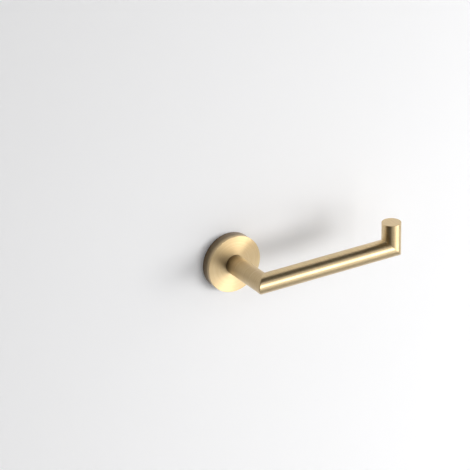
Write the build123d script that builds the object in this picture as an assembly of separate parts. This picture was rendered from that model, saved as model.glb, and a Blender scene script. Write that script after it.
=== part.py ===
from build123d import *
import os
from math import sqrt

# A wall-mounted toilet paper holder in brushed brass, open at one end.
#
# A wall plate is screwed to the wall. A round rose drops over it and is drawn back against the
# wall by one grub screw from below, so that no fixing shows. The arm is three lengths of one tube,
# mitred and brazed: a post that stands out of the rose, a roll bar that runs to the right, and a
# short upright that keeps the roll on. The post is bolted to the rose from behind and keyed to it
# by a pin, because the weight on the roll bar tries to turn it.
#
# Millimetres, +Z up. The wall is the plane Y = 0 and the room is on its -Y side. The origin is on
# the wall at the rose's axis, and the roll bar runs along +X.

# ---------------------------------------------------------------- driving sizes

# The arm
tube_diameter = 18.0
tube_wall = 1.5
wall_to_bar = 57.5  # wall to the roll bar's axis
post_to_upright = 137.5  # post's axis to the upright's axis
upright_height = 25.0  # roll bar's axis to the top of the end cap
cap_thickness = 2.0
cap_spigot_length = 3.0
cap_edge_chamfer = 0.4

# The rose
rose_diameter = 54.0
rose_depth = 10.5
rose_rim_wall = 4.0
rose_front_wall = 3.5
rose_front_chamfer = 0.4
rose_back_chamfer = 0.3
post_seat_depth = 0.5  # the post stands in a shallow seat turned in the rose's face

# The wall plate
plate_thickness = 6.0
plate_foot_width = 3.5  # the outer ring that bears on the wall
plate_relief = 0.8  # the middle is relieved, so that the plate can't rock
plate_front_chamfer = 0.5
plate_groove_depth = 1.9  # 90 degree groove that the grub screw's point enters
screw_spacing = 29.0  # one wall screw above the axis and one below
screw_seat_height = 3.0  # floor of each slot's pocket, from the wall
slot_travel = 3.0  # sideways adjustment in each slot

# Wall screws, their washers and plugs
wall_screw_diameter = 4.0
wall_screw_core = 3.0
wall_screw_length = 40.0
wall_screw_point = 6.0
wall_screw_head_diameter = 8.0
wall_screw_head_height = 2.4
wall_screw_dome_radius = 6.5
cross_recess_width = 0.9
cross_recess_span = 4.2
cross_recess_depth = 1.7
cross_recess_taper = 8.0  # degrees
wall_washer_diameter = 9.0
wall_washer_thickness = 0.8
plug_diameter = 6.0
plug_length = 30.0
plug_slit_width = 1.2
plug_collar_length = 7.0  # solid length at the mouth, before the slit
plug_barb_count = 4
plug_barb_depth = 0.4
plug_barb_length = 4.0
plug_barb_pitch = 5.0
plug_nose_chamfer = 0.8

# The grub screw in the rose's rim
grub_diameter = 4.0
grub_height = 3.4  # its axis, from the wall
grub_sunk = 0.5  # its outer end, below the rim's surface
grub_point_flat = 0.8
grub_hex = 2.0
grub_hex_depth = 2.0
grub_mouth_chamfer = 0.4
grub_pull = 0.2  # its axis stands this far in front of the groove's, which draws the rose back

# The bolt, washer, insert and pin that hold the post to the rose
bolt_diameter = 6.0
bolt_length = 16.0  # under the head
bolt_head_diameter = 10.5
bolt_head_height = 3.3
bolt_head_chamfer = 1.2
bolt_hex = 4.0
bolt_hex_depth = 2.0
bolt_lead_chamfer = 0.5
bolt_washer_diameter = 11.0
bolt_washer_thickness = 0.8
insert_length = 16.0
insert_lead_chamfer = 1.0
pin_diameter = 2.5
pin_length = 8.0
pin_end_chamfer = 0.25
pin_edge_wall = 0.97  # brass left outside the pin's hole in the insert
pin_in_rose = 2.6  # part of the pin that is in the rose

# Clearances
spigot_clearance = 0.02  # brazed spigots, on the radius
seat_clearance = 0.05  # post in its seat, on the radius
thread_clearance = 0.03  # between thread crests, drawn plain, on the radius
pin_clearance = 0.01  # on the radius
bolt_hole_clearance = 0.2  # on the radius
washer_hole_clearance = 0.15  # on the radius
screw_hole_clearance = 0.25  # on the radius
plug_bore_clearance = 0.05  # on the radius
plate_clearance = 0.2  # rose's recess around the wall plate, on the radius
pocket_clearance = 0.3  # slot's pocket around a washer, on the radius
hub_clearance = 1.0  # wall plate's middle hole around the bolt's washer, on the radius
point_clearance = 0.03  # grub screw's point off the groove's flank
bolt_end_clearance = 1.0  # tapped hole beyond the bolt's end
hole_overrun = 1.0  # cutting tools run past the face by this much

# ---------------------------------------------------------------- sizes that follow

tube_radius = tube_diameter / 2
tube_bore_radius = tube_radius - tube_wall
rose_radius = rose_diameter / 2
recess_radius = rose_radius - rose_rim_wall
recess_depth = rose_depth - rose_front_wall
post_foot = rose_depth - post_seat_depth  # height of the post's foot above the wall
plate_radius = recess_radius - plate_clearance
hub_radius = bolt_washer_diameter / 2 + hub_clearance
slot_width = wall_screw_diameter + 2 * screw_hole_clearance
pocket_width = wall_washer_diameter + 2 * pocket_clearance
groove_height = grub_height - grub_pull
groove_bottom_radius = plate_radius - plate_groove_depth
head_seat_height = screw_seat_height + wall_washer_thickness
bolt_head_top = recess_depth - bolt_washer_thickness  # the head's bearing face
plug_bore_radius = wall_screw_core / 2 + plug_bore_clearance
insert_radius = tube_bore_radius - spigot_clearance
pin_hole_radius = pin_diameter / 2 + pin_clearance
pin_offset = insert_radius - pin_edge_wall - pin_hole_radius  # its axis, below the post's
pin_start = post_foot - pin_in_rose

# The arm's corners and the mitre planes through them, each halfway between two tube axes
post_corner = Vector(0, -wall_to_bar, 0)
upright_corner = Vector(post_to_upright, -wall_to_bar, 0)
post_mitre = Plane(origin=post_corner, z_dir=(1, -1, 0))
upright_mitre = Plane(origin=upright_corner, z_dir=(1, 0, 1))

# Pieces on the wall are drawn with Z as the height above the wall and Y up, then turned into place
wall_frame = Plane.XZ
# The grub screw is drawn with Z as the distance down from the rose's axis
grub_frame = Plane(origin=(0, 0, grub_height), x_dir=(1, 0, 0), z_dir=(0, -1, 0))

UPWARDS = (Align.CENTER, Align.CENTER, Align.MIN)


# ---------------------------------------------------------------- helpers


def rod(radius, start, end):
    """A solid cylinder about Z between two heights."""
    return Pos(0, 0, start) * Cylinder(radius, end - start, align=UPWARDS)


def turned(*outline):
    """A solid turned about Z from a closed outline of (radius, height) points."""
    return revolve(Plane.XZ * make_face(Polyline(*outline, close=True)), Axis.Z)


def hexagon(across_flats, start, end):
    """A hexagonal prism about Z between two heights."""
    outline = RegularPolygon(across_flats / 2, 6, major_radius=False)
    return Pos(0, 0, start) * extrude(outline, end - start)


def tube(start, direction, length):
    """A length of the arm's tube from a point along a direction."""
    section = Circle(tube_radius) - Circle(tube_bore_radius)
    return Plane(origin=start, z_dir=direction) * extrude(section, length)


def above_and_below(piece):
    """The piece once at each wall screw's axis."""
    return [Pos(0, side * screw_spacing / 2, 0) * piece for side in (1, -1)]


# ---------------------------------------------------------------- wall fixing


def make_wall_plate():
    """A turned disc with a grooved edge, a relieved back, and two slotted and pocketed holes."""
    foot_radius = plate_radius - plate_foot_width
    plate = turned(
        (hub_radius, plate_relief),
        (foot_radius, plate_relief),
        (foot_radius, 0),
        (plate_radius, 0),
        (plate_radius, groove_height - plate_groove_depth),
        (groove_bottom_radius, groove_height),
        (plate_radius, groove_height + plate_groove_depth),
        (plate_radius, plate_thickness - plate_front_chamfer),
        (plate_radius - plate_front_chamfer, plate_thickness),
        (hub_radius, plate_thickness),
    )
    slot = extrude(SlotOverall(slot_travel + slot_width, slot_width), plate_thickness)
    pocket = Pos(0, 0, screw_seat_height) * extrude(
        SlotOverall(slot_travel + pocket_width, pocket_width), plate_thickness
    )
    for cut in above_and_below(slot + pocket):
        plate -= cut
    return wall_frame * plate


def make_wall_screws():
    """Two pan head wood screws with a cross recess. The thread's crests are left off the core."""
    head_top = head_seat_height + wall_screw_head_height
    tip = head_seat_height - wall_screw_length
    dome = Pos(0, 0, head_top - wall_screw_dome_radius) * Sphere(wall_screw_dome_radius)
    head = rod(wall_screw_head_diameter / 2, head_seat_height, head_top) & dome
    shoulder = rod(wall_screw_diameter / 2, 0, head_seat_height)
    core = turned(
        (0, 0), (wall_screw_core / 2, 0), (wall_screw_core / 2, tip + wall_screw_point), (0, tip)
    )
    bar = Rectangle(cross_recess_span, cross_recess_width)
    cross = Pos(0, 0, head_top) * extrude(
        bar + Rot(0, 0, 90) * bar, -cross_recess_depth, taper=cross_recess_taper
    )
    return [wall_frame * s for s in above_and_below(head + shoulder + core - cross)]


def make_wall_screw_washers():
    """A flat washer under each wall screw's head, bridging the slot."""
    hole_radius = wall_screw_diameter / 2 + washer_hole_clearance
    washer = rod(wall_washer_diameter / 2, screw_seat_height, head_seat_height)
    washer -= rod(hole_radius, screw_seat_height, head_seat_height)
    return [wall_frame * w for w in above_and_below(washer)]


def make_wall_plugs():
    """Two nylon wall plugs, slit so that the screw spreads them, with barbs against pulling out."""
    radius = plug_diameter / 2
    plug = rod(radius, -plug_length, 0)
    plug = chamfer(plug.edges().sort_by(Axis.Z)[0], plug_nose_chamfer)
    plug -= rod(plug_bore_radius, -plug_length, 0)
    first_barb = -plug_collar_length / 2
    for barb in range(plug_barb_count):
        start = first_barb - barb * plug_barb_pitch
        plug -= turned(
            (radius, start),
            (radius + hole_overrun, start),
            (radius + hole_overrun, start - plug_barb_length),
            (radius - plug_barb_depth, start - plug_barb_length),
        )
    slit_length = plug_length - plug_collar_length
    plug -= Pos(0, 0, -plug_length) * Box(
        plug_slit_width, plug_diameter + hole_overrun, slit_length, align=UPWARDS
    )
    return [wall_frame * p for p in above_and_below(plug)]


# ---------------------------------------------------------------- rose


def make_rose():
    """A turned cup with a softened edge, a seat for the post, and bolt, pin and grub screw holes."""
    rose = rod(rose_radius, 0, rose_depth)
    rose = chamfer(rose.edges().sort_by(Axis.Z)[-1], rose_front_chamfer)
    rose = chamfer(rose.edges().sort_by(Axis.Z)[0], rose_back_chamfer)
    rose -= rod(recess_radius, 0, recess_depth)
    rose -= rod(tube_radius + seat_clearance, post_foot, rose_depth)
    rose -= rod(bolt_diameter / 2 + bolt_hole_clearance, recess_depth, rose_depth)
    rose -= Pos(0, -pin_offset, 0) * rod(pin_hole_radius, pin_start, post_foot)
    hole_radius = grub_diameter / 2 + thread_clearance
    hole = rod(hole_radius, recess_radius - hole_overrun, rose_radius + hole_overrun)
    mouth = turned(
        (0, rose_radius + hole_radius),
        (0, rose_radius - hole_radius - grub_mouth_chamfer),
        (2 * hole_radius + grub_mouth_chamfer, rose_radius + hole_radius),
    )
    rose -= grub_frame * (hole + mouth)
    return wall_frame * rose


def make_rose_grub_screw():
    """A cone point grub screw, up through the rim's underside into the wall plate's groove."""
    radius = grub_diameter / 2
    flat_radius = grub_point_flat / 2
    apex = groove_bottom_radius + grub_pull + point_clearance * sqrt(2)
    outer_end = rose_radius - grub_sunk
    screw = turned(
        (0, apex + flat_radius),
        (flat_radius, apex + flat_radius),
        (radius, apex + radius),
        (radius, outer_end),
        (0, outer_end),
    )
    screw -= hexagon(grub_hex, outer_end - grub_hex_depth, outer_end)
    return wall_frame * (grub_frame * screw)


# ---------------------------------------------------------------- post's fixing to the rose


def make_post_insert():
    """A brass plug brazed in the post's foot, tapped for the bolt and drilled for the pin."""
    insert = rod(insert_radius, post_foot, post_foot + insert_length)
    insert = chamfer(insert.edges().sort_by(Axis.Z)[-1], insert_lead_chamfer)
    thread_end = bolt_head_top + bolt_length + bolt_end_clearance
    insert -= rod(bolt_diameter / 2 + thread_clearance, post_foot, thread_end)
    pin_hole_end = pin_start + pin_length + pin_clearance
    insert -= Pos(0, -pin_offset, 0) * rod(pin_hole_radius, post_foot, pin_hole_end)
    return wall_frame * insert


def make_post_bolt():
    """A low head socket screw, from behind the rose into the post's insert."""
    head_bottom = bolt_head_top - bolt_head_height
    head = rod(bolt_head_diameter / 2, head_bottom, bolt_head_top)
    head = chamfer(head.edges().sort_by(Axis.Z)[0], bolt_head_chamfer)
    shank = rod(bolt_diameter / 2, bolt_head_top, bolt_head_top + bolt_length)
    shank = chamfer(shank.edges().sort_by(Axis.Z)[-1], bolt_lead_chamfer)
    return wall_frame * (head + shank - hexagon(bolt_hex, head_bottom, head_bottom + bolt_hex_depth))


def make_post_bolt_washer():
    """The washer between the bolt's head and the rose's recess floor."""
    hole_radius = bolt_diameter / 2 + washer_hole_clearance
    washer = rod(bolt_washer_diameter / 2, bolt_head_top, recess_depth)
    return wall_frame * (washer - rod(hole_radius, bolt_head_top, recess_depth))


def make_post_locating_pin():
    """The pin that keys the post to the rose, so that a loaded roll bar can't droop."""
    pin = rod(pin_diameter / 2, 0, pin_length)
    pin = chamfer(pin.edges().filter_by(GeomType.CIRCLE), pin_end_chamfer)
    return wall_frame * (Pos(0, -pin_offset, pin_start) * pin)


# ---------------------------------------------------------------- arm


def make_post_tube():
    """From the rose's seat to the first mitre."""
    post = tube((0, -post_foot, 0), (0, -1, 0), wall_to_bar + tube_diameter)
    return split(post, bisect_by=post_mitre, keep=Keep.BOTTOM)


def make_roll_bar_tube():
    """Between the two mitres, which are a quarter turn apart about the bar's axis."""
    start = post_corner - Vector(tube_diameter, 0, 0)
    bar = tube(start, (1, 0, 0), post_to_upright + 2 * tube_diameter)
    bar = split(bar, bisect_by=post_mitre, keep=Keep.TOP)
    return split(bar, bisect_by=upright_mitre, keep=Keep.BOTTOM)


def make_end_upright_tube():
    """From the second mitre to the underside of the end cap."""
    start = upright_corner - Vector(0, 0, tube_diameter)
    upright = tube(start, (0, 0, 1), tube_diameter + upright_height - cap_thickness)
    return split(upright, bisect_by=upright_mitre, keep=Keep.TOP)


def make_end_cap():
    """A disc as wide as the tube, with a spigot brazed inside it and a softened top edge."""
    cap_foot = upright_height - cap_thickness
    disc = rod(tube_radius, cap_foot, upright_height)
    disc = chamfer(disc.edges().sort_by(Axis.Z)[-1], cap_edge_chamfer)
    spigot_radius = tube_bore_radius - spigot_clearance
    spigot = rod(spigot_radius, cap_foot - cap_spigot_length, cap_foot)
    return Pos(upright_corner) * (disc + spigot)


# ---------------------------------------------------------------- assembly

pieces = {
    "wall_plate": make_wall_plate(),
    "wall_screws": make_wall_screws(),
    "wall_screw_washers": make_wall_screw_washers(),
    "wall_plugs": make_wall_plugs(),
    "rose": make_rose(),
    "rose_grub_screw": make_rose_grub_screw(),
    "post_insert": make_post_insert(),
    "post_bolt": make_post_bolt(),
    "post_bolt_washer": make_post_bolt_washer(),
    "post_locating_pin": make_post_locating_pin(),
    "post_tube": make_post_tube(),
    "roll_bar_tube": make_roll_bar_tube(),
    "end_upright_tube": make_end_upright_tube(),
    "end_cap": make_end_cap(),
}

os.makedirs("parts", exist_ok=True)
for name, piece in pieces.items():
    solids = [s for p in (piece if isinstance(piece, list) else [piece]) for s in p.solids()]
    shape = solids[0] if len(solids) == 1 else Compound(children=solids)
    export_step(shape, f"parts/{name}.step")
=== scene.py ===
import math

import bpy
import bmesh
from mathutils import Matrix, Vector


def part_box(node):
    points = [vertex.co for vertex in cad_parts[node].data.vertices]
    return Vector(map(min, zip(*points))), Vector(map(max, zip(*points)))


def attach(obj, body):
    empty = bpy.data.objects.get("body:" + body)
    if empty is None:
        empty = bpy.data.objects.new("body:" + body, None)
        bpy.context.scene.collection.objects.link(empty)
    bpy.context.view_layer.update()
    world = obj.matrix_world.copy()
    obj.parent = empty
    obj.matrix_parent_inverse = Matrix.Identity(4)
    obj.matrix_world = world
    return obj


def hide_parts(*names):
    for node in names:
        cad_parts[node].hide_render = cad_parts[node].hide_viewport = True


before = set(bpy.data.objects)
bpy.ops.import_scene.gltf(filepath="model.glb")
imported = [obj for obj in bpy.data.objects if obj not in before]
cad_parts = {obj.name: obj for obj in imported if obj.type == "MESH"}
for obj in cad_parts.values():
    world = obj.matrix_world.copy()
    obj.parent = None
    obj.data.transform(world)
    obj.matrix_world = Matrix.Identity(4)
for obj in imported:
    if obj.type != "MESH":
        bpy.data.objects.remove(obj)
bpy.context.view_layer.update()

# A brushed brass toilet paper holder on a white wall. The wall is the plane y = 0, the room is on
# its -y side, and the origin is the rose's centre on the wall. Metres, +z up.

MM = 0.001


# ---------------------------------------------------------------- sizes read from the frame


def middle(node_name):
    """The centre of a CAD node's box."""
    low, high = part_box(node_name)
    return (low + high) / 2


def extent(node_name):
    """The lengths of a CAD node's box along x, y and z."""
    low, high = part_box(node_name)
    return high - low


TUBE_RADIUS = extent("roll_bar_tube").z / 2
CORNER = Vector((middle("post_tube").x, middle("roll_bar_tube").y, middle("roll_bar_tube").z))
UPRIGHT_AXIS = Vector((middle("end_upright_tube").x, CORNER.y, CORNER.z))
ROSE_RADIUS = extent("rose").x / 2
ROSE_DEPTH = extent("rose").y
POST_FOOT = -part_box("post_tube")[1].y
CAP_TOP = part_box("end_cap")[1].z
CAP_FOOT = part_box("end_upright_tube")[1].z

# Turns that lay a shape's z axis out of the wall, into it, to the right, or down
OUT_OF_WALL = Matrix(((1, 0, 0), (0, 0, -1), (0, 1, 0)))
INTO_WALL = Matrix(((1, 0, 0), (0, 0, 1), (0, -1, 0)))
TO_THE_RIGHT = Matrix(((0, 0, 1), (1, 0, 0), (0, 1, 0)))
DOWNWARDS = Matrix(((1, 0, 0), (0, 1, 0), (0, 0, -1)))


# ---------------------------------------------------------------- nodes

MATH = "ShaderNodeMath"
VECTOR_MATH = "ShaderNodeVectorMath"
JOINED_XYZ = "ShaderNodeCombineXYZ"
SPLIT_XYZ = "ShaderNodeSeparateXYZ"
MAP_RANGE = "ShaderNodeMapRange"
MIX = "ShaderNodeMix"
NOISE = "ShaderNodeTexNoise"
BUMP = "ShaderNodeBump"
PRINCIPLED = "ShaderNodeBsdfPrincipled"
SWITCH = "GeometryNodeSwitch"


def node(tree, kind, inputs=(), **settings):
    """Adds a node, with its inputs by name or in order.

    An input is a value, a socket, or a node whose first output is linked.
    """
    made = tree.nodes.new(kind)
    for name, value in settings.items():
        setattr(made, name, value)
    keyed = inputs.items() if isinstance(inputs, dict) else enumerate(inputs)
    for key, value in keyed:
        if isinstance(value, bpy.types.Node):
            value = value.outputs[0]
        if isinstance(value, bpy.types.NodeSocket):
            tree.links.new(value, made.inputs[key])
        else:
            made.inputs[key].default_value = value
    return made


def linear(hex_colour):
    """An sRGB hex colour as linear RGBA."""
    channels = [int(hex_colour[i : i + 2], 16) / 255 for i in (1, 3, 5)]
    bent = [c / 12.92 if c <= 0.04045 else ((c + 0.055) / 1.055) ** 2.4 for c in channels]
    return (*bent, 1.0)


def new_material(name):
    """An empty node material, with its tree and its output node."""
    material = bpy.data.materials.new(name)
    material.use_nodes = True
    tree = material.node_tree
    tree.nodes.clear()
    return material, tree, node(tree, "ShaderNodeOutputMaterial")


def scale_of(size_mm):
    """The scale at which a pattern on Object coordinates has marks of this size."""
    return 1.0 / (size_mm * MM)


# ---------------------------------------------------------------- camera, wall and floor

# The camera stands well back with a long lens, to the left of the post and above it
CAMERA_AZIMUTH = math.radians(-31.79)
CAMERA_ELEVATION = math.radians(25.41)
CAMERA_ROLL = math.radians(-0.50)
CAMERA_DISTANCE = 3.0566
CAMERA_LENS = 261.3
CAMERA_TARGET = Vector((7.2, 0.0, 22.9)) * MM

WALL_GAP = 0.02 * MM  # the wall's face, behind the pieces that rest on it
WALL_HOLE = 26.6 * MM  # hidden under the rose, so that light from behind reaches its inside
WALL_SIDES = 64
FLOOR_DROP = 1.2
STAGE_HALF = 8.0


def direction(azimuth, elevation):
    """The unit vector from the object towards an azimuth, from -y towards +x, and an elevation."""
    flat = math.cos(elevation)
    return Vector((math.sin(azimuth) * flat, -math.cos(azimuth) * flat, math.sin(elevation)))


def facing(thing, place, target, roll=0.0):
    """Puts a camera or lamp at a place with its -z axis towards a target."""
    thing.rotation_mode = "QUATERNION"
    thing.location = place
    turn = (target - place).to_track_quat("-Z", "Y")
    thing.rotation_quaternion = turn @ Matrix.Rotation(roll, 3, "Z").to_quaternion()


def make_camera():
    """The camera, far back with its long lens."""
    data = bpy.data.cameras.new("camera")
    data.sensor_width = 36.0
    data.lens = CAMERA_LENS
    data.clip_start = 0.1
    data.clip_end = 50.0
    camera = bpy.data.objects.new("camera", data)
    bpy.context.scene.collection.objects.link(camera)
    back = direction(CAMERA_AZIMUTH, CAMERA_ELEVATION)
    facing(camera, CAMERA_TARGET + back * CAMERA_DISTANCE, CAMERA_TARGET, CAMERA_ROLL)
    bpy.context.scene.camera = camera


def matt_paint(name, colour):
    """Matt emulsion paint, rolled on: no gloss, so that only soft shadows show on it.

    It is only there from its front, so that the views from behind look through it.
    """
    material, tree, output = new_material(name)
    paint = node(tree, "ShaderNodeBsdfDiffuse", {"Color": linear(colour)})
    clear = node(tree, "ShaderNodeBsdfTransparent")
    behind = node(tree, "ShaderNodeNewGeometry").outputs["Backfacing"]
    shader = node(tree, "ShaderNodeMixShader", (behind, paint, clear))
    tree.links.new(shader.outputs[0], output.inputs["Surface"])
    return material


def make_sheet(name, points, faces, material):
    """A flat stage piece."""
    mesh = bpy.data.meshes.new(name)
    mesh.from_pydata([tuple(p) for p in points], [], faces)
    mesh.materials.append(material)
    sheet = bpy.data.objects.new(name, mesh)
    bpy.context.scene.collection.objects.link(sheet)
    return sheet


def make_wall():
    """The wall that the rose stands against, as a wide ring about the hole that the rose hides."""
    turns = [2 * math.pi * k / WALL_SIDES for k in range(WALL_SIDES)]
    points = [
        (radius * math.cos(turn), WALL_GAP, radius * math.sin(turn))
        for radius in (WALL_HOLE, STAGE_HALF)
        for turn in turns
    ]
    faces = []
    for k in range(WALL_SIDES):
        after = (k + 1) % WALL_SIDES
        faces.append((k, WALL_SIDES + k, WALL_SIDES + after, after))
    make_sheet("wall", points, faces, matt_paint("white_wall_paint", "#FAFAFA"))


def make_floor():
    """The plain floor far below, which throws a little light upwards."""
    corners = [(-1, -1), (1, -1), (1, 1), (-1, 1)]
    points = [(x * STAGE_HALF, y * STAGE_HALF, -FLOOR_DROP) for x, y in corners]
    make_sheet("floor", points, [(0, 1, 2, 3)], matt_paint("pale_floor", "#BCBCBC"))


# ---------------------------------------------------------------- light


def make_lamp(name, azimuth, elevation, distance, width, height, watts):
    """A soft rectangular lamp that faces the object."""
    data = bpy.data.lights.new(name, "AREA")
    data.shape = "RECTANGLE"
    data.size = width
    data.size_y = height
    data.energy = watts
    lamp = bpy.data.objects.new(name, data)
    bpy.context.scene.collection.objects.link(lamp)
    place = direction(math.radians(azimuth), math.radians(elevation)) * distance
    facing(lamp, place, Vector((0.0, 0.0, 0.0)))


def black_cloth():
    """Matt black woven cloth on a frame, seen only as dark streaks in the metal.

    It thins out towards its edges, so that they cast no hard line.
    """
    material, tree, output = new_material("black_cloth")
    cover = node(tree, "ShaderNodeAttribute", attribute_name="cover").outputs["Fac"]
    cover = node(tree, MAP_RANGE, {"Value": cover}, interpolation_type="SMOOTHSTEP")
    cloth = node(tree, "ShaderNodeBsdfDiffuse", {"Color": linear("#26221D")})
    clear = node(tree, "ShaderNodeBsdfTransparent")
    shader = node(tree, "ShaderNodeMixShader", (cover, clear, cloth))
    tree.links.new(shader.outputs[0], output.inputs["Surface"])
    return material


def make_flag(name, corner, across, along, thin_across, thin_along, material):
    """A sheet of black cloth from a corner, which keeps light off and isn't seen itself.

    It thins out over the given widths at the start and end of each direction.
    """
    places = []
    for side, thin in ((across, thin_across), (along, thin_along)):
        places.append([0.0, thin[0] / side.length, 1.0 - thin[1] / side.length, 1.0])
    points = [corner + across * u + along * v for v in places[1] for u in places[0]]
    faces = []
    for row in range(3):
        for column in range(3):
            start = 4 * row + column
            faces.append((start, start + 1, start + 5, start + 4))
    flag = make_sheet(name, points, faces, material)
    inner = [float(0 < k % 4 < 3 and 0 < k // 4 < 3) for k in range(len(points))]
    flag.data.attributes.new("cover", "FLOAT", "POINT").data.foreach_set("value", inner)
    flag.visible_camera = False


def make_world():
    """Even, almost neutral light from all round, drawn at its plain colour."""
    bpy.context.scene.view_settings.view_transform = "Standard"
    world = bpy.data.worlds.new("studio")
    world.use_nodes = True
    bpy.context.scene.world = world
    background = world.node_tree.nodes["Background"]
    background.inputs["Color"].default_value = linear("#FDFDFF")


def make_light():
    """A soft lamp at the right, a large weak one below it, a small one nearer the front and one
    behind for the back, with black cloth above and at the left."""
    make_lamp("key", 41.0, -1.0, distance=2.2, width=1.0, height=0.75, watts=15.5)
    make_lamp("low_fill", 37.0, -15.0, distance=1.8, width=1.9, height=1.35, watts=9.2)
    make_lamp("front_fill", 15.0, 0.0, distance=2.2, width=0.5, height=0.5, watts=2.5)
    make_lamp("rear_fill", 150.0, 20.0, distance=2.2, width=1.6, height=1.6, watts=12.0)
    cloth = black_cloth()
    make_flag(
        "black_ceiling",
        corner=Vector((-2.4, 0.8, 1.3)),
        across=Vector((4.8, 0.0, 0.0)),
        along=Vector((0.0, -2.8, 0.0)),
        thin_across=(0.6, 0.6),
        thin_along=(0.6, 0.8),
        material=cloth,
    )
    make_flag(
        "black_left_side",
        corner=Vector((-1.2, 0.5, -1.19)),
        across=Vector((0.0, -3.3, 0.0)),
        along=Vector((0.0, 0.0, 3.1)),
        thin_across=(0.4, 0.9),
        thin_along=(0.05, 0.6),
        material=cloth,
    )


# ---------------------------------------------------------------- meshes

MERGE_DISTANCE = 0.001 * MM
SLIVER = 0.0005 * MM


def as_piece(name, mesh, material):
    """Makes an object of a mesh, at the origin and riding on the one body."""
    mesh.materials.clear()
    mesh.materials.append(material)
    piece = bpy.data.objects.new(name, mesh)
    bpy.context.scene.collection.objects.link(piece)
    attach(piece, "root")
    return piece


def tidy_faces(mesh):
    """Merges doubled points and turns every face outwards."""
    work = bmesh.new()
    work.from_mesh(mesh)
    bmesh.ops.remove_doubles(work, verts=work.verts, dist=MERGE_DISTANCE)
    bmesh.ops.dissolve_degenerate(work, edges=work.edges, dist=SLIVER)
    bmesh.ops.recalc_face_normals(work, faces=work.faces)
    work.to_mesh(mesh)
    work.free()


def turned_mesh(name, outline, sides):
    """Turns a closed outline of (radius, height) points about z. A radius of 0 is a pole."""
    rings = []
    points = []
    for radius, height in outline:
        count = 1 if radius == 0 else sides
        ring = []
        for k in range(count):
            angle = 2 * math.pi * k / sides
            ring.append(len(points))
            points.append((radius * math.cos(angle), radius * math.sin(angle), height))
        rings.append(ring)
    faces = []
    for here, there in zip(rings, rings[1:] + rings[:1]):
        if len(here) == 1 and len(there) == 1:
            continue
        for k in range(sides):
            after = (k + 1) % sides
            corners = [here[k % len(here)], here[after % len(here)]]
            corners += [there[after % len(there)], there[k % len(there)]]
            faces.append(list(dict.fromkeys(corners)))
    mesh = bpy.data.meshes.new(name)
    mesh.from_pydata(points, [], faces)
    tidy_faces(mesh)
    return mesh


def rounded(corner, arrive, leave, radius, steps=6):
    """Points of a quarter round at an outline's corner. Arrive and leave are unit steps."""
    start = (corner[0] - arrive[0] * radius, corner[1] - arrive[1] * radius)
    centre = (start[0] + leave[0] * radius, start[1] + leave[1] * radius)
    points = []
    for k in range(steps + 1):
        angle = math.pi / 2 * k / steps
        sine = math.sin(angle)
        cosine = math.cos(angle)
        x = centre[0] + radius * (arrive[0] * sine - leave[0] * cosine)
        y = centre[1] + radius * (arrive[1] * sine - leave[1] * cosine)
        points.append((x, y))
    return points


def drilled(name, mesh, drills):
    """A copy of a mesh with each drill's shape cut out of it."""
    blank = bpy.data.objects.new("blank", mesh)
    bpy.context.scene.collection.objects.link(blank)
    tools = []
    for drill in drills:
        tidy_faces(drill)
        tool = bpy.data.objects.new("tool", drill)
        bpy.context.scene.collection.objects.link(tool)
        tools.append(tool)
        cut = blank.modifiers.new("hole", "BOOLEAN")
        cut.operation = "DIFFERENCE"
        cut.solver = "EXACT"
        cut.object = tool
    seen = blank.evaluated_get(bpy.context.evaluated_depsgraph_get())
    result = bpy.data.meshes.new_from_object(seen)
    result.name = name
    for used in [blank] + tools:
        bpy.data.objects.remove(used)
    return result


# ---------------------------------------------------------------- normals and brushing

ON_THE_AXIS = 0.01 * MM  # a point this near the axis has no spoke of its own
ROUND_LIMIT = 0.05  # how far a face of a turned surface may lean round the axis
PLANE_SHARE = 0.999  # a face's normal lies along the axis by more: it is a plane across it
END_SHARE = 0.9  # a face's normal lies along the axis by more: it is brushed as an end
SKIN_SHARE = 0.8  # a mesh's own normal holds where it agrees with the face's by more


def off_axis(point, axis):
    """The part of a point's place that is at right angles to the axis."""
    return point - axis * point.dot(axis)


def skin_normal(face, axis, spoke, is_turned, true_normal):
    """The normal at a corner of a face: the mesh's own, a turned surface's, or the face's."""
    if true_normal is not None:
        is_skin = true_normal.dot(face.normal) > SKIN_SHARE
        return true_normal.normalized() if is_skin else face.normal.copy()
    if not is_turned:
        return face.normal.copy()
    along = face.normal.dot(axis)
    outward = math.copysign(math.sqrt(1 - along**2), face.normal.dot(spoke))
    return axis * along + spoke * outward


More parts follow.
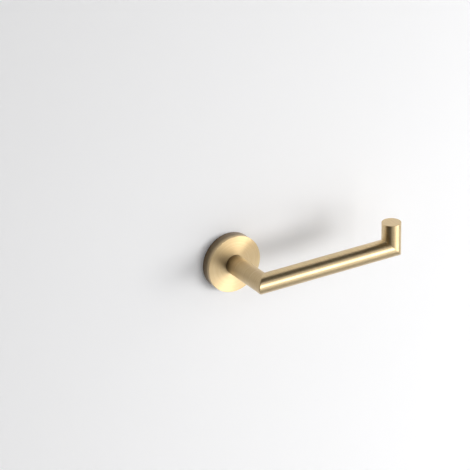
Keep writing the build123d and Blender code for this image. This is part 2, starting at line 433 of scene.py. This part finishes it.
def lay_brushing(mesh, origin, axis, straight=None, turned=None):
    """Gives round faces true normals, and says how the brushing lies on every face.

    The attribute across counts millimetres across the brushing lines, and lay is the direction
    across them. The lines run round the axis, except on flat ends when straight gives a direction.
    A mesh may bring its own true normals, which turned then brings into place.
    """
    axis = Vector(axis)
    held = mesh.attributes.get("true_normal")
    own = [turned @ Vector(item.vector) for item in held.data] if held else None
    normals, across, lays = [], [], []
    for face in mesh.polygons:
        out = off_axis(face.center - origin, axis)
        round_about = axis.cross(out).normalized() if out.length > 0 else Vector()
        along = abs(face.normal.dot(axis))
        is_turned = abs(face.normal.dot(round_about)) < ROUND_LIMIT and along < PLANE_SHARE
        is_end = along > END_SHARE
        for index in face.loop_indices:
            vertex = mesh.loops[index].vertex_index
            point = mesh.vertices[vertex].co - origin
            spoke = off_axis(point, axis)
            radius = spoke.length
            spoke = spoke.normalized() if radius > ON_THE_AXIS else out.normalized()
            normal = skin_normal(face, axis, spoke, is_turned, own[vertex] if own else None)
            if is_end and straight is not None:
                lay = Vector(straight)
                place = point.dot(lay)
            else:
                lay = normal.cross(axis.cross(spoke))
                place = radius if is_end else point.dot(axis)
            normals.append(normal)
            across.append(place / MM)
            lays += list(lay)
    mesh.polygons.foreach_set("use_smooth", [True] * len(mesh.polygons))
    mesh.normals_split_custom_set(normals)
    mesh.attributes.new("across", "FLOAT", "CORNER").data.foreach_set("value", across)
    mesh.attributes.new("lay", "FLOAT_VECTOR", "CORNER").data.foreach_set("vector", lays)


# ---------------------------------------------------------------- geometry node trees


def new_tree(name, floats, vectors=(), counts=()):
    """An empty geometry tree, with its named inputs of each kind."""
    tree = bpy.data.node_groups.new(name, "GeometryNodeTree")
    tree.interface.new_socket("Mesh", in_out="OUTPUT", socket_type="NodeSocketGeometry")
    for kind, labels in (("Float", floats), ("Vector", vectors), ("Int", counts)):
        for label in labels:
            tree.interface.new_socket(label, in_out="INPUT", socket_type="NodeSocket" + kind)
    return tree, node(tree, "NodeGroupInput").outputs


def finish_tree(tree, mesh, material):
    """Ends a tree in real geometry with its material."""
    real = node(tree, "GeometryNodeRealizeInstances", (mesh,))
    painted = node(tree, "GeometryNodeSetMaterial", {"Geometry": real, "Material": material})
    node(tree, "NodeGroupOutput", (painted,))


def grown(tree, name, **values):
    """Runs a tree with named inputs and returns its plain mesh."""
    carrier = bpy.data.objects.new(name, bpy.data.meshes.new(name))
    bpy.context.scene.collection.objects.link(carrier)
    modifier = carrier.modifiers.new(name, "NODES")
    modifier.node_group = tree
    for item in tree.interface.items_tree:
        label = item.name.lower().replace(" ", "_")
        if item.in_out == "INPUT" and label in values:
            modifier[item.identifier] = values[label]
    seen = carrier.evaluated_get(bpy.context.evaluated_depsgraph_get())
    mesh = bpy.data.meshes.new_from_object(seen)
    bpy.data.objects.remove(carrier)
    tidy_faces(mesh)
    mesh.name = name
    return mesh


def round_grid(tree, sides, rows, length):
    """A grid that is wrapped round z: the grid, where each point is on it, and its unit spoke."""
    columns = node(tree, MATH, (sides, 1.0), operation="ADD")
    size = {"Size X": 1.0, "Size Y": length, "Vertices X": columns, "Vertices Y": rows}
    grid = node(tree, "GeometryNodeMeshGrid", size)
    place = node(tree, SPLIT_XYZ, (node(tree, "GeometryNodeInputPosition"),))
    turn = node(tree, MATH, (place.outputs["X"], 2 * math.pi), operation="MULTIPLY")
    cosine = node(tree, MATH, (turn,), operation="COSINE")
    sine = node(tree, MATH, (turn,), operation="SINE")
    spoke = node(tree, JOINED_XYZ, {"X": cosine, "Y": sine})
    return grid, place, spoke


# ---------------------------------------------------------------- the mitred tube's tree

MITRE_STEPS = 4  # faces across the rounded edge of a mitre
FAR_ROW = MITRE_STEPS + 1  # where the far edge's round starts
BORE_ROW = 2 * FAR_ROW  # the bore at the far end, with the near end's row after it
CLOSING_ROW = BORE_ROW + 2  # the first row again


def mitre_rows(tree, place):
    """How far round its edge each row is, whether it is in the bore, and whether it is at the
    far end."""
    row = node(tree, MATH, (place.outputs["Y"], CLOSING_ROW / 2 + 0.25), operation="ADD")
    row = node(tree, MATH, (row,), operation="FLOOR")
    row = node(tree, MATH, (row, CLOSING_ROW), operation="MODULO")
    in_bore = node(tree, MATH, (row, BORE_ROW - 0.5), operation="GREATER_THAN")
    past_near = node(tree, MATH, (row, FAR_ROW - 0.5), operation="GREATER_THAN")
    before_last = node(tree, MATH, (row, BORE_ROW + 0.5), operation="LESS_THAN")
    at_far = node(tree, MATH, (past_near, before_last), operation="MULTIPLY")
    near_share = node(tree, MATH, (row, MITRE_STEPS), operation="DIVIDE")
    near_share = node(tree, MATH, (1.0, near_share), operation="SUBTRACT")
    far_share = node(tree, MATH, (row, FAR_ROW), operation="SUBTRACT")
    far_share = node(tree, MATH, (far_share, MITRE_STEPS), operation="DIVIDE")
    share = {"Switch": at_far, "False": near_share, "True": far_share}
    share = node(tree, SWITCH, share, input_type="FLOAT")
    return share, in_bore, at_far


def mitre_plane(tree, given, at_far):
    """The lean of a row's mitre, its end on the tube's axis, and its plane's outward normal."""
    lean = {"Switch": at_far, "False": given["Near lean"], "True": given["Far lean"]}
    lean = node(tree, SWITCH, lean, input_type="VECTOR")
    end = {"Switch": at_far, "False": given["Near end"], "True": given["Far end"]}
    end = node(tree, SWITCH, end, input_type="FLOAT")
    side = node(tree, SWITCH, {"Switch": at_far, "False": -1.0, "True": 1.0}, input_type="FLOAT")
    plane = node(tree, VECTOR_MATH, ((0.0, 0.0, 1.0), lean), operation="SUBTRACT")
    plane = node(tree, VECTOR_MATH, (plane,), operation="NORMALIZE")
    plane = node(tree, VECTOR_MATH, {0: plane, "Scale": side}, operation="SCALE")
    return lean, end, plane


def rounded_mitre(tree, given, spoke, plane, share):
    """How far a mitre's round moves a point of its edge, and the true normal there.

    The round turns the surface from the tube's own direction to the mitre plane's, by an angle
    that is 45 degrees at the corner's outside and shrinks to nothing at its sides. Inside the
    corner the same rule gives the small fillet of braze.
    """
    leaning = node(tree, VECTOR_MATH, (spoke, plane), operation="DOT_PRODUCT").outputs["Value"]
    sharpness = node(tree, MATH, (leaning, -1.0), operation="MULTIPLY")
    half_turn = node(tree, MATH, (sharpness,), operation="ARCSINE")
    turned = node(tree, MATH, (half_turn, share), operation="MULTIPLY")
    cosine = node(tree, MATH, (turned,), operation="COSINE")
    sine = node(tree, MATH, (turned,), operation="SINE")
    # Along: at right angles to the spoke, towards the plane's side
    along = node(tree, VECTOR_MATH, {0: spoke, "Scale": sharpness}, operation="SCALE")
    along = node(tree, VECTOR_MATH, (plane, along), operation="ADD")
    along = node(tree, VECTOR_MATH, (along,), operation="NORMALIZE")

    outside = node(tree, MATH, (sharpness, 0.0), operation="GREATER_THAN")
    inward = node(tree, MATH, (given["Braze radius"], -1.0), operation="MULTIPLY")
    radius = {"Switch": outside, "False": inward, "True": given["Arris radius"]}
    radius = node(tree, SWITCH, radius, input_type="FLOAT")
    tangent = node(tree, MATH, (half_turn,), operation="TANGENT")
    slide = node(tree, MATH, (sine, tangent), operation="SUBTRACT")
    slide = node(tree, VECTOR_MATH, {0: along, "Scale": slide}, operation="SCALE")
    sink = node(tree, MATH, (cosine, 1.0), operation="SUBTRACT")
    sink = node(tree, VECTOR_MATH, {0: spoke, "Scale": sink}, operation="SCALE")
    shift = node(tree, VECTOR_MATH, (slide, sink), operation="ADD")
    shift = node(tree, VECTOR_MATH, {0: shift, "Scale": radius}, operation="SCALE")

    outwards = node(tree, VECTOR_MATH, {0: spoke, "Scale": cosine}, operation="SCALE")
    sidewards = node(tree, VECTOR_MATH, {0: along, "Scale": sine}, operation="SCALE")
    true_normal = node(tree, VECTOR_MATH, (outwards, sidewards), operation="ADD")
    return shift, true_normal


def mitred_tube_tree(material):
    """A tube along z whose ends are cut to a lean, with the outer edge of each mitre rounded.

    It is a grid wrapped round. Across the grid is round the tube. Its rows are the near edge's
    round, the far edge's round, the far and near bore, and the first row again, which closes it.
    """
    tree, given = new_tree(
        "mitred tube",
        floats=["Radius", "Bore radius", "Near end", "Far end", "Arris radius", "Braze radius"],
        vectors=["Near lean", "Far lean"],
        counts=["Sides"],
    )
    grid, place, spoke = round_grid(tree, given["Sides"], CLOSING_ROW + 1, CLOSING_ROW)
    share, in_bore, at_far = mitre_rows(tree, place)
    lean, end, plane = mitre_plane(tree, given, at_far)
    shift, normal = rounded_mitre(tree, given, spoke, plane, share)

    # The bore is plain: its edge stays on the mitre's plane, and its faces point inwards
    shift = {"Switch": in_bore, "False": shift, "True": (0.0, 0.0, 0.0)}
    shift = node(tree, SWITCH, shift, input_type="VECTOR")
    inwards = node(tree, VECTOR_MATH, {0: spoke, "Scale": -1.0}, operation="SCALE")
    normal = {"Switch": in_bore, "False": normal, "True": inwards}
    normal = node(tree, SWITCH, normal, input_type="VECTOR")
    radius = {"Switch": in_bore, "False": given["Radius"], "True": given["Bore radius"]}
    radius = node(tree, SWITCH, radius, input_type="FLOAT")

    flat = node(tree, VECTOR_MATH, {0: spoke, "Scale": radius}, operation="SCALE")
    rise = node(tree, VECTOR_MATH, (flat, lean), operation="DOT_PRODUCT").outputs["Value"]
    height = node(tree, MATH, (rise, end), operation="ADD")
    edge = node(tree, VECTOR_MATH, (flat, node(tree, JOINED_XYZ, {"Z": height})), operation="ADD")
    point = node(tree, VECTOR_MATH, (edge, shift), operation="ADD")
    wrapped = node(tree, "GeometryNodeSetPosition", {"Geometry": grid, "Position": point})
    held = {"Geometry": wrapped, "Name": "true_normal", "Value": normal}
    held = node(tree, "GeometryNodeStoreNamedAttribute", held, data_type="FLOAT_VECTOR")
    finish_tree(tree, held, material)
    return tree


# ---------------------------------------------------------------- the thread's tree

# Across half a pitch, from the middle of the root to the middle of the crest at 0.5
ROOT_ENDS = 0.18
CREST_STARTS = 0.47
LAST_ROW_GAP = 0.01  # in turns


def thread_ridge(tree, climb, started):
    """A V with a narrow crest and a wider root, once each turn, from 0 at the root to 1."""
    ridge = node(tree, MATH, (climb, 0.5), operation="PINGPONG")
    ridge = {"Value": ridge, "From Min": ROOT_ENDS, "From Max": CREST_STARTS}
    ridge = node(tree, MAP_RANGE, ridge)
    return node(tree, MATH, (ridge, started), operation="MULTIPLY")


def thread_radius(tree, given, ridge, height):
    """The radius from root to crest, which shrinks to nothing towards the point."""
    radius = {"Value": ridge, "To Min": given["Root radius"], "To Max": given["Crest radius"]}
    radius = node(tree, MAP_RANGE, radius)
    left = node(tree, MATH, (given["Length"], height), operation="SUBTRACT")
    taper = node(tree, MATH, (left, given["Point length"]), operation="DIVIDE", use_clamp=True)
    return node(tree, MATH, (radius, taper), operation="MULTIPLY")


def thread_tree(material):
    """A helical thread with a tapered point.

    It is a grid wrapped round, whose rows climb with the helix, so that each crest is one clean
    line.
    """
    tree, given = new_tree(
        "thread",
        floats=["Crest radius", "Root radius", "Pitch", "Length", "Point length"],
        counts=["Sides", "Rows per turn"],
    )
    turns = node(tree, MATH, (given["Length"], given["Pitch"]), operation="DIVIDE")
    turns = node(tree, MATH, (turns, 2.0), operation="ADD")
    turns = node(tree, MATH, (turns,), operation="CEIL")
    rows = node(tree, MATH, (turns, given["Rows per turn"]), operation="MULTIPLY")
    rows = node(tree, MATH, (rows, 1.0), operation="ADD")
    grid, place, spoke = round_grid(tree, given["Sides"], rows, turns)

    # Rise, in pitches: it starts one before the thread, and grows with the rows and round each
    half = node(tree, MATH, (turns, 0.5), operation="MULTIPLY")
    climb = node(tree, MATH, (place.outputs["Y"], half), operation="ADD")
    rise = node(tree, MATH, (climb, place.outputs["X"]), operation="ADD")
    rise = node(tree, MATH, (rise, -1.0), operation="ADD")
    started = node(tree, MATH, (rise, 0.0), operation="GREATER_THAN")
    height = node(tree, MATH, (rise, given["Pitch"]), operation="MULTIPLY")
    height = {"Value": height, "Min": 0.0, "Max": given["Length"]}
    height = node(tree, "ShaderNodeClamp", height)

    ridge = thread_ridge(tree, climb, started)
    radius = thread_radius(tree, given, ridge, height)
    # The first and last rows close the ends at the axis
    from_middle = node(tree, MATH, (place.outputs["Y"],), operation="ABSOLUTE")
    inside = node(tree, MATH, (half, from_middle), operation="SUBTRACT")
    inside = node(tree, MATH, (inside, LAST_ROW_GAP), operation="GREATER_THAN")
    radius = node(tree, MATH, (radius, inside), operation="MULTIPLY")

    flat = node(tree, VECTOR_MATH, {0: spoke, "Scale": radius}, operation="SCALE")
    height = node(tree, JOINED_XYZ, {"Z": height})
    point = node(tree, VECTOR_MATH, (flat, height), operation="ADD")
    wrapped = node(tree, "GeometryNodeSetPosition", {"Geometry": grid, "Position": point})
    finish_tree(tree, wrapped, material)
    return tree


# ---------------------------------------------------------------- materials

# A thin satin lacquer over the brass, which pales its highlights and its grazing reflections
LACQUER = 1.0
LACQUER_ROUGHNESS = 0.40
# Real brushing lines are 0.02 to 0.1 mm wide. They are drawn coarser, so that they can be seen.
LINE_WIDTH_MM = 0.5
LINE_LENGTH_MM = 22.2
UNEVEN_MM = 15.4  # broad, faint unevenness that the hand or the belt leaves
# Painted shade: a brown that darkens the rose's rim and the post's foot towards the wall, where
# the contact shadow falls
PAINTED_SHADE_BROWN = "#6B5333"
PAINTED_SHADE_COVER = 0.85
# A plain metal's grain, from tools or plating, is finer than 0.05 mm. Each one is drawn coarser,
# so that it can be seen, with soft blotches over it.
BLOTCH_MM = 6.25
GRAIN_DEPTH = 0.01 * MM
# A moulding's skin has marks of a few hundredths of a millimetre. They are drawn coarser too.
MOTTLE_MM = 1.11
MOTTLE_DEPTH = 0.02 * MM
NYLON_IOR = 1.53


def brushing_lines(tree, place):
    """Noise that changes fast across the brushing lines and slowly along them."""
    across = node(tree, "ShaderNodeAttribute", attribute_name="across").outputs["Fac"]
    step = node(tree, MATH, (across, 1.0 / LINE_WIDTH_MM), operation="MULTIPLY")
    step = node(tree, JOINED_XYZ, {"X": step})
    drift = {0: place, "Scale": scale_of(LINE_LENGTH_MM)}
    drift = node(tree, VECTOR_MATH, drift, operation="SCALE")
    spot = node(tree, VECTOR_MATH, (drift, step), operation="ADD")
    lines = {"Vector": spot, "Scale": 1.0, "Detail": 3.0, "Roughness": 0.6}
    return node(tree, NOISE, lines).outputs["Fac"]


def with_painted_shade(tree, shade, place, painted_shade_mm):
    """A colour darkened to brown towards the wall: painted shade for the shadowed corner behind.
    """
    depth = node(tree, SPLIT_XYZ, (place,)).outputs["Y"]
    start, end = painted_shade_mm
    cover = {"Value": depth, "From Min": start * MM, "From Max": end * MM, "To Max": PAINTED_SHADE_COVER}
    cover = node(tree, MAP_RANGE, cover, interpolation_type="SMOOTHSTEP")
    shade = {"Factor": cover, "A": shade, "B": linear(PAINTED_SHADE_BROWN)}
    return node(tree, MIX, shade, data_type="RGBA").outputs["Result"]


def brushed_metal(name, colour, worn_colour, roughness, anisotropy, line_depth_mm, painted_shade_mm):
    """Metal brushed or turned in fine parallel lines, which follow the attributes across and lay.

    Each line is a shallow scratch. Together they stretch a highlight across the lines, so a turned
    face shows two bright fans and a tube shows clean streaks along its length.
    """
    material, tree, output = new_material(name)
    place = node(tree, "ShaderNodeTexCoord").outputs["Object"]
    lay = node(tree, "ShaderNodeAttribute", attribute_name="lay").outputs["Vector"]
    lines = brushing_lines(tree, place)
    tone = node(tree, MAP_RANGE, {"Value": lines, "From Min": 0.3, "From Max": 0.7})
    shade = {"Factor": tone, "A": linear(worn_colour), "B": linear(colour)}
    shade = node(tree, MIX, shade, data_type="RGBA").outputs["Result"]
    # Painted shade: the colour turns brown towards the wall
    shade = with_painted_shade(tree, shade, place, painted_shade_mm)
    uneven = node(tree, NOISE, {"Vector": place, "Scale": scale_of(UNEVEN_MM), "Detail": 2.0})
    dull = {
        "Value": uneven.outputs["Fac"],
        "From Min": 0.35,
        "From Max": 0.65,
        "To Min": roughness - 0.02,
        "To Max": roughness + 0.03,
    }
    dull = node(tree, MAP_RANGE, dull)
    bump = node(tree, BUMP, {"Strength": 1.0, "Distance": line_depth_mm * MM, "Height": lines})
    metal = {
        "Base Color": shade,
        "Metallic": 1.0,
        "Roughness": dull,
        "Anisotropic": anisotropy,
        "Coat Weight": LACQUER,
        "Coat Roughness": LACQUER_ROUGHNESS,
        "Normal": bump,
        "Tangent": lay,
    }
    metal = node(tree, PRINCIPLED, metal)
    tree.links.new(metal.outputs[0], output.inputs["Surface"])
    return material


def plain_metal(name, dark_colour, pale_colour, grain_mm):
    """Unbrushed metal: a fine even grain, with soft blotches between a darker and a paler tone."""
    material, tree, output = new_material(name)
    place = node(tree, "ShaderNodeTexCoord").outputs["Object"]
    grain = node(tree, NOISE, {"Vector": place, "Scale": scale_of(grain_mm), "Detail": 4.0})
    blotch = node(tree, NOISE, {"Vector": place, "Scale": scale_of(BLOTCH_MM), "Detail": 2.0})
    shade = {"Factor": blotch.outputs["Fac"], "A": linear(dark_colour), "B": linear(pale_colour)}
    shade = node(tree, MIX, shade, data_type="RGBA").outputs["Result"]
    dull = node(tree, MAP_RANGE, {"Value": grain.outputs["Fac"], "To Min": 0.28, "To Max": 0.5})
    bump = {"Strength": 1.0, "Distance": GRAIN_DEPTH, "Height": grain.outputs["Fac"]}
    bump = node(tree, BUMP, bump)
    metal = {"Base Color": shade, "Metallic": 1.0, "Roughness": dull, "Normal": bump}
    metal = node(tree, PRINCIPLED, metal)
    tree.links.new(metal.outputs[0], output.inputs["Surface"])
    return material


def moulded_nylon():
    """Grey nylon 6 from a mould: matt, slightly waxy, a little translucent at thin edges."""
    material, tree, output = new_material("moulded_nylon")
    place = node(tree, "ShaderNodeTexCoord").outputs["Object"]
    mottle = node(tree, NOISE, {"Vector": place, "Scale": scale_of(MOTTLE_MM), "Detail": 3.0})
    shade = {"Factor": mottle.outputs["Fac"], "A": linear("#8E9093"), "B": linear("#A2A4A6")}
    shade = node(tree, MIX, shade, data_type="RGBA").outputs["Result"]
    bump = {"Strength": 1.0, "Distance": MOTTLE_DEPTH, "Height": mottle.outputs["Fac"]}
    bump = node(tree, BUMP, bump)
    plastic = {
        "Base Color": shade,
        "Roughness": 0.48,
        "IOR": NYLON_IOR,
        "Subsurface Weight": 0.15,
        "Subsurface Scale": 1.0 * MM,
        "Normal": bump,
    }
    plastic = node(tree, PRINCIPLED, plastic)
    tree.links.new(plastic.outputs[0], output.inputs["Surface"])
    return material


# ---------------------------------------------------------------- the arm of brass tube

TUBE_SIDES = 160
TUBE_WALL = 1.5 * MM
# The mitres are dressed flush and their outer edges softened, with a line of braze inside
MITRE_ARRIS = 0.8 * MM
MITRE_BRAZE = 0.3 * MM
ARRIS = 0.3 * MM  # rounding of the end cap's edge and of the rose's front edge


def make_arm(material):
    """The post, the roll bar and the upturned end, cut to the mitre planes between them."""
    tree = mitred_tube_tree(material)
    foot = Vector((CORNER.x, 0.0, CORNER.z))
    bar_length = UPRIGHT_AXIS.x - CORNER.x
    upright_length = CAP_FOOT - CORNER.z
    # The leans are in each tube's own frame: how its end rises as it goes along x and y
    level = (0.0, 0.0, 0.0)
    against_x = (-1.0, 0.0, 0.0)
    against_y = (0.0, -1.0, 0.0)
    with_x = (1.0, 0.0, 0.0)
    upwards = Matrix.Identity(3)
    tubes = [
        ("post_tube", foot, OUT_OF_WALL, POST_FOOT, -CORNER.y, level, against_x),
        ("roll_bar_tube", CORNER, TO_THE_RIGHT, 0.0, bar_length, with_x, against_y),
        ("end_upright_tube", UPRIGHT_AXIS, upwards, 0.0, upright_length, against_x, level),
    ]
    for name, start, axes, near_end, far_end, near_lean, far_lean in tubes:
        mesh = grown(
            tree,
            "brushed_" + name,
            radius=TUBE_RADIUS,
            bore_radius=TUBE_RADIUS - TUBE_WALL,
            near_end=near_end,
            far_end=far_end,
            near_lean=near_lean,
            far_lean=far_lean,
            arris_radius=MITRE_ARRIS,
            braze_radius=MITRE_BRAZE,
            sides=TUBE_SIDES,
        )
        mesh.transform(Matrix.Translation(start) @ axes.to_4x4())
        lay_brushing(mesh, start, axes.col[2], turned=axes)
        piece = as_piece("brushed_" + name, mesh, material)
        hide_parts(name)


def make_end_cap(material):
    """The disc that closes the upturned end, brushed straight across its top."""
    spigot = TUBE_RADIUS - TUBE_WALL
    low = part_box("end_cap")[0].z
    outline = [(0, CAP_TOP)]
    outline += rounded((TUBE_RADIUS, CAP_TOP), (1, 0), (0, -1), ARRIS)
    outline += [(TUBE_RADIUS, CAP_FOOT), (spigot, CAP_FOOT), (spigot, low), (0, low)]
    mesh = turned_mesh("brushed_end_cap", outline, TUBE_SIDES)
    mesh.transform(Matrix.Translation((UPRIGHT_AXIS.x, UPRIGHT_AXIS.y, 0)))
    lay_brushing(mesh, UPRIGHT_AXIS, (0, 0, 1), straight=(1.0, 0.0, 0.0))
    piece = as_piece("brushed_end_cap", mesh, material)
    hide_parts("end_cap")


# ---------------------------------------------------------------- the rose

ROSE_SIDES = 256
ROSE_BACK_BREAK = 0.3 * MM
ROSE_RIM_WALL = 4.0 * MM
ROSE_FRONT_WALL = 3.5 * MM
SEAT_GAP = 0.05 * MM
BOLT_HOLE_RADIUS = 3.2 * MM
GRUB_HOLE_RADIUS = 2.03 * MM
GRUB_HOLE_SIDES = 48
GRUB_MOUTH = 0.4 * MM
PIN_HOLE_RADIUS = 1.26 * MM
PIN_HOLE_FLOOR = 7.4 * MM  # from the wall
PIN_HOLE_SIDES = 32


def grub_drill():
    """The shape of the grub screw's hole through the rim, up from below, with its wider mouth."""
    reach = 2 * ROSE_RIM_WALL
    outline = [
        (0, ROSE_RADIUS - reach),
        (GRUB_HOLE_RADIUS, ROSE_RADIUS - reach),
        (GRUB_HOLE_RADIUS, ROSE_RADIUS - GRUB_MOUTH),
        (GRUB_HOLE_RADIUS + GRUB_MOUTH + reach, ROSE_RADIUS + reach),
        (0, ROSE_RADIUS + reach),
    ]
    drill = turned_mesh("grub_drill", outline, GRUB_HOLE_SIDES)
    place = Matrix.Translation((0, middle("rose_grub_screw").y, 0))
    drill.transform(place @ DOWNWARDS.to_4x4())
    return drill


def pin_drill():
    """The shape of the locating pin's blind hole in the post's seat, out past the rose's front."""
    front = 2 * ROSE_DEPTH
    outline = [
        (0, PIN_HOLE_FLOOR),
        (PIN_HOLE_RADIUS, PIN_HOLE_FLOOR),
        (PIN_HOLE_RADIUS, front),
        (0, front),
    ]
    drill = turned_mesh("pin_drill", outline, PIN_HOLE_SIDES)
    pin = middle("post_locating_pin")
    drill.transform(Matrix.Translation((pin.x, 0, pin.z)) @ OUT_OF_WALL.to_4x4())
    return drill


def make_rose(material):
    """The turned cover, with the holes of the grub screw in its rim and of the pin in its seat."""
    seat = TUBE_RADIUS + SEAT_GAP
    recess = ROSE_RADIUS - ROSE_RIM_WALL
    floor = ROSE_DEPTH - ROSE_FRONT_WALL
    outline = [(BOLT_HOLE_RADIUS, POST_FOOT), (seat, POST_FOOT), (seat, ROSE_DEPTH)]
    outline += rounded((ROSE_RADIUS, ROSE_DEPTH), (1, 0), (0, -1), ARRIS)
    outline += [(ROSE_RADIUS, ROSE_BACK_BREAK), (ROSE_RADIUS - ROSE_BACK_BREAK, 0)]
    outline += [(recess, 0), (recess, floor), (BOLT_HOLE_RADIUS, floor)]
    mesh = turned_mesh("turned_rose", outline, ROSE_SIDES)
    mesh.transform(OUT_OF_WALL.to_4x4())
    mesh = drilled("turned_rose", mesh, [grub_drill(), pin_drill()])
    lay_brushing(mesh, Vector((0, 0, 0)), (0, -1, 0))
    piece = as_piece("turned_rose", mesh, material)
    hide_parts("rose")


# ---------------------------------------------------------------- what holds it to the wall

SCREW_CREST_RADIUS = 2.0 * MM
SCREW_ROOT_RADIUS = 1.53 * MM
SCREW_PITCH = 1.8 * MM
SCREW_POINT = 6.0 * MM
SCREW_SIDES = 32
SCREW_ROWS = 12  # faces along each pitch
CREASE = math.radians(35)


def make_screw_threads(material):
    """The threads of the two wall screws, from the wall's face to their points."""
    tree = thread_tree(material)
    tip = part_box("wall_screws")[1].y
    low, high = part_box("wall_screw_washers")
    radius = (high.x - low.x) / 2
    for name, height in (("upper", high.z - radius), ("lower", low.z + radius)):
        mesh = grown(
            tree,
            name + "_screw_thread",
            crest_radius=SCREW_CREST_RADIUS,
            root_radius=SCREW_ROOT_RADIUS,
            pitch=SCREW_PITCH,
            length=tip,
            point_length=SCREW_POINT,
            sides=SCREW_SIDES,
            rows_per_turn=SCREW_ROWS,
        )
        mesh.transform(Matrix.Translation((0, 0, height)) @ INTO_WALL.to_4x4())
        mesh.shade_smooth()
        mesh.set_sharp_from_angle(angle=CREASE)
        as_piece(name + "_screw_thread", mesh, material)


def dress(names, material):
    """Gives CAD nodes a better material."""
    for name in names:
        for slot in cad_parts[name].material_slots:
            slot.material = material


# ---------------------------------------------------------------- the whole

make_camera()
make_wall()
make_floor()
make_world()
make_light()

# Satin lacquered brass tube, brushed round with a fine belt: a warm, slightly greenish yellow
# metal with soft streaks of light and dark along each tube
arm_brass = brushed_metal(
    "brushed_brass",
    colour="#E4CC9E",
    worn_colour="#D4B884",
    roughness=0.42,
    anisotropy=0.88,
    line_depth_mm=0.003,
    # painted shade on the post's foot, darkening towards the rose
    painted_shade_mm=(-22.0, -10.5),
)
# The same brass turned on a lathe: its rings spread the light into two broad fans
rose_brass = brushed_metal(
    "turned_brass",
    colour="#E5CD9E",
    worn_colour="#DBBF8D",
    roughness=0.47,
    anisotropy=0.85,
    line_depth_mm=0.003,
    # painted shade on the rim, darkening towards the wall
    painted_shade_mm=(-10.3, -5.0),
)
# Bright zinc plating on turned steel: a cool pale grey, a little uneven where the bath left it so
plate_zinc = plain_metal("zinc_plated_plate", "#A9ADB3", "#C6CAD0", grain_mm=0.25)
# The same plating on cold formed screws and washers: as cool and pale, with a finer grain
screw_zinc = plain_metal("zinc_plated_screws", "#A9ADB3", "#C9CCD1", grain_mm=0.12)
# Bare stainless steel as turned: a warmer and darker grey than zinc
stainless = plain_metal("plain_stainless_steel", "#9C9A97", "#B4B2AE", grain_mm=0.10)
# Bare brass as machined: a stronger yellow than the lacquered brass
machined_brass = plain_metal("machined_brass", "#CBA668", "#DFBE84", grain_mm=0.15)
nylon = moulded_nylon()

make_arm(arm_brass)
make_end_cap(arm_brass)
make_rose(rose_brass)
make_screw_threads(screw_zinc)
dress(["wall_plate"], plate_zinc)
dress(["wall_screws", "wall_screw_washers", "post_bolt", "post_bolt_washer"], screw_zinc)
dress(["rose_grub_screw", "post_locating_pin"], stainless)
dress(["post_insert"], machined_brass)
dress(["wall_plugs"], nylon)
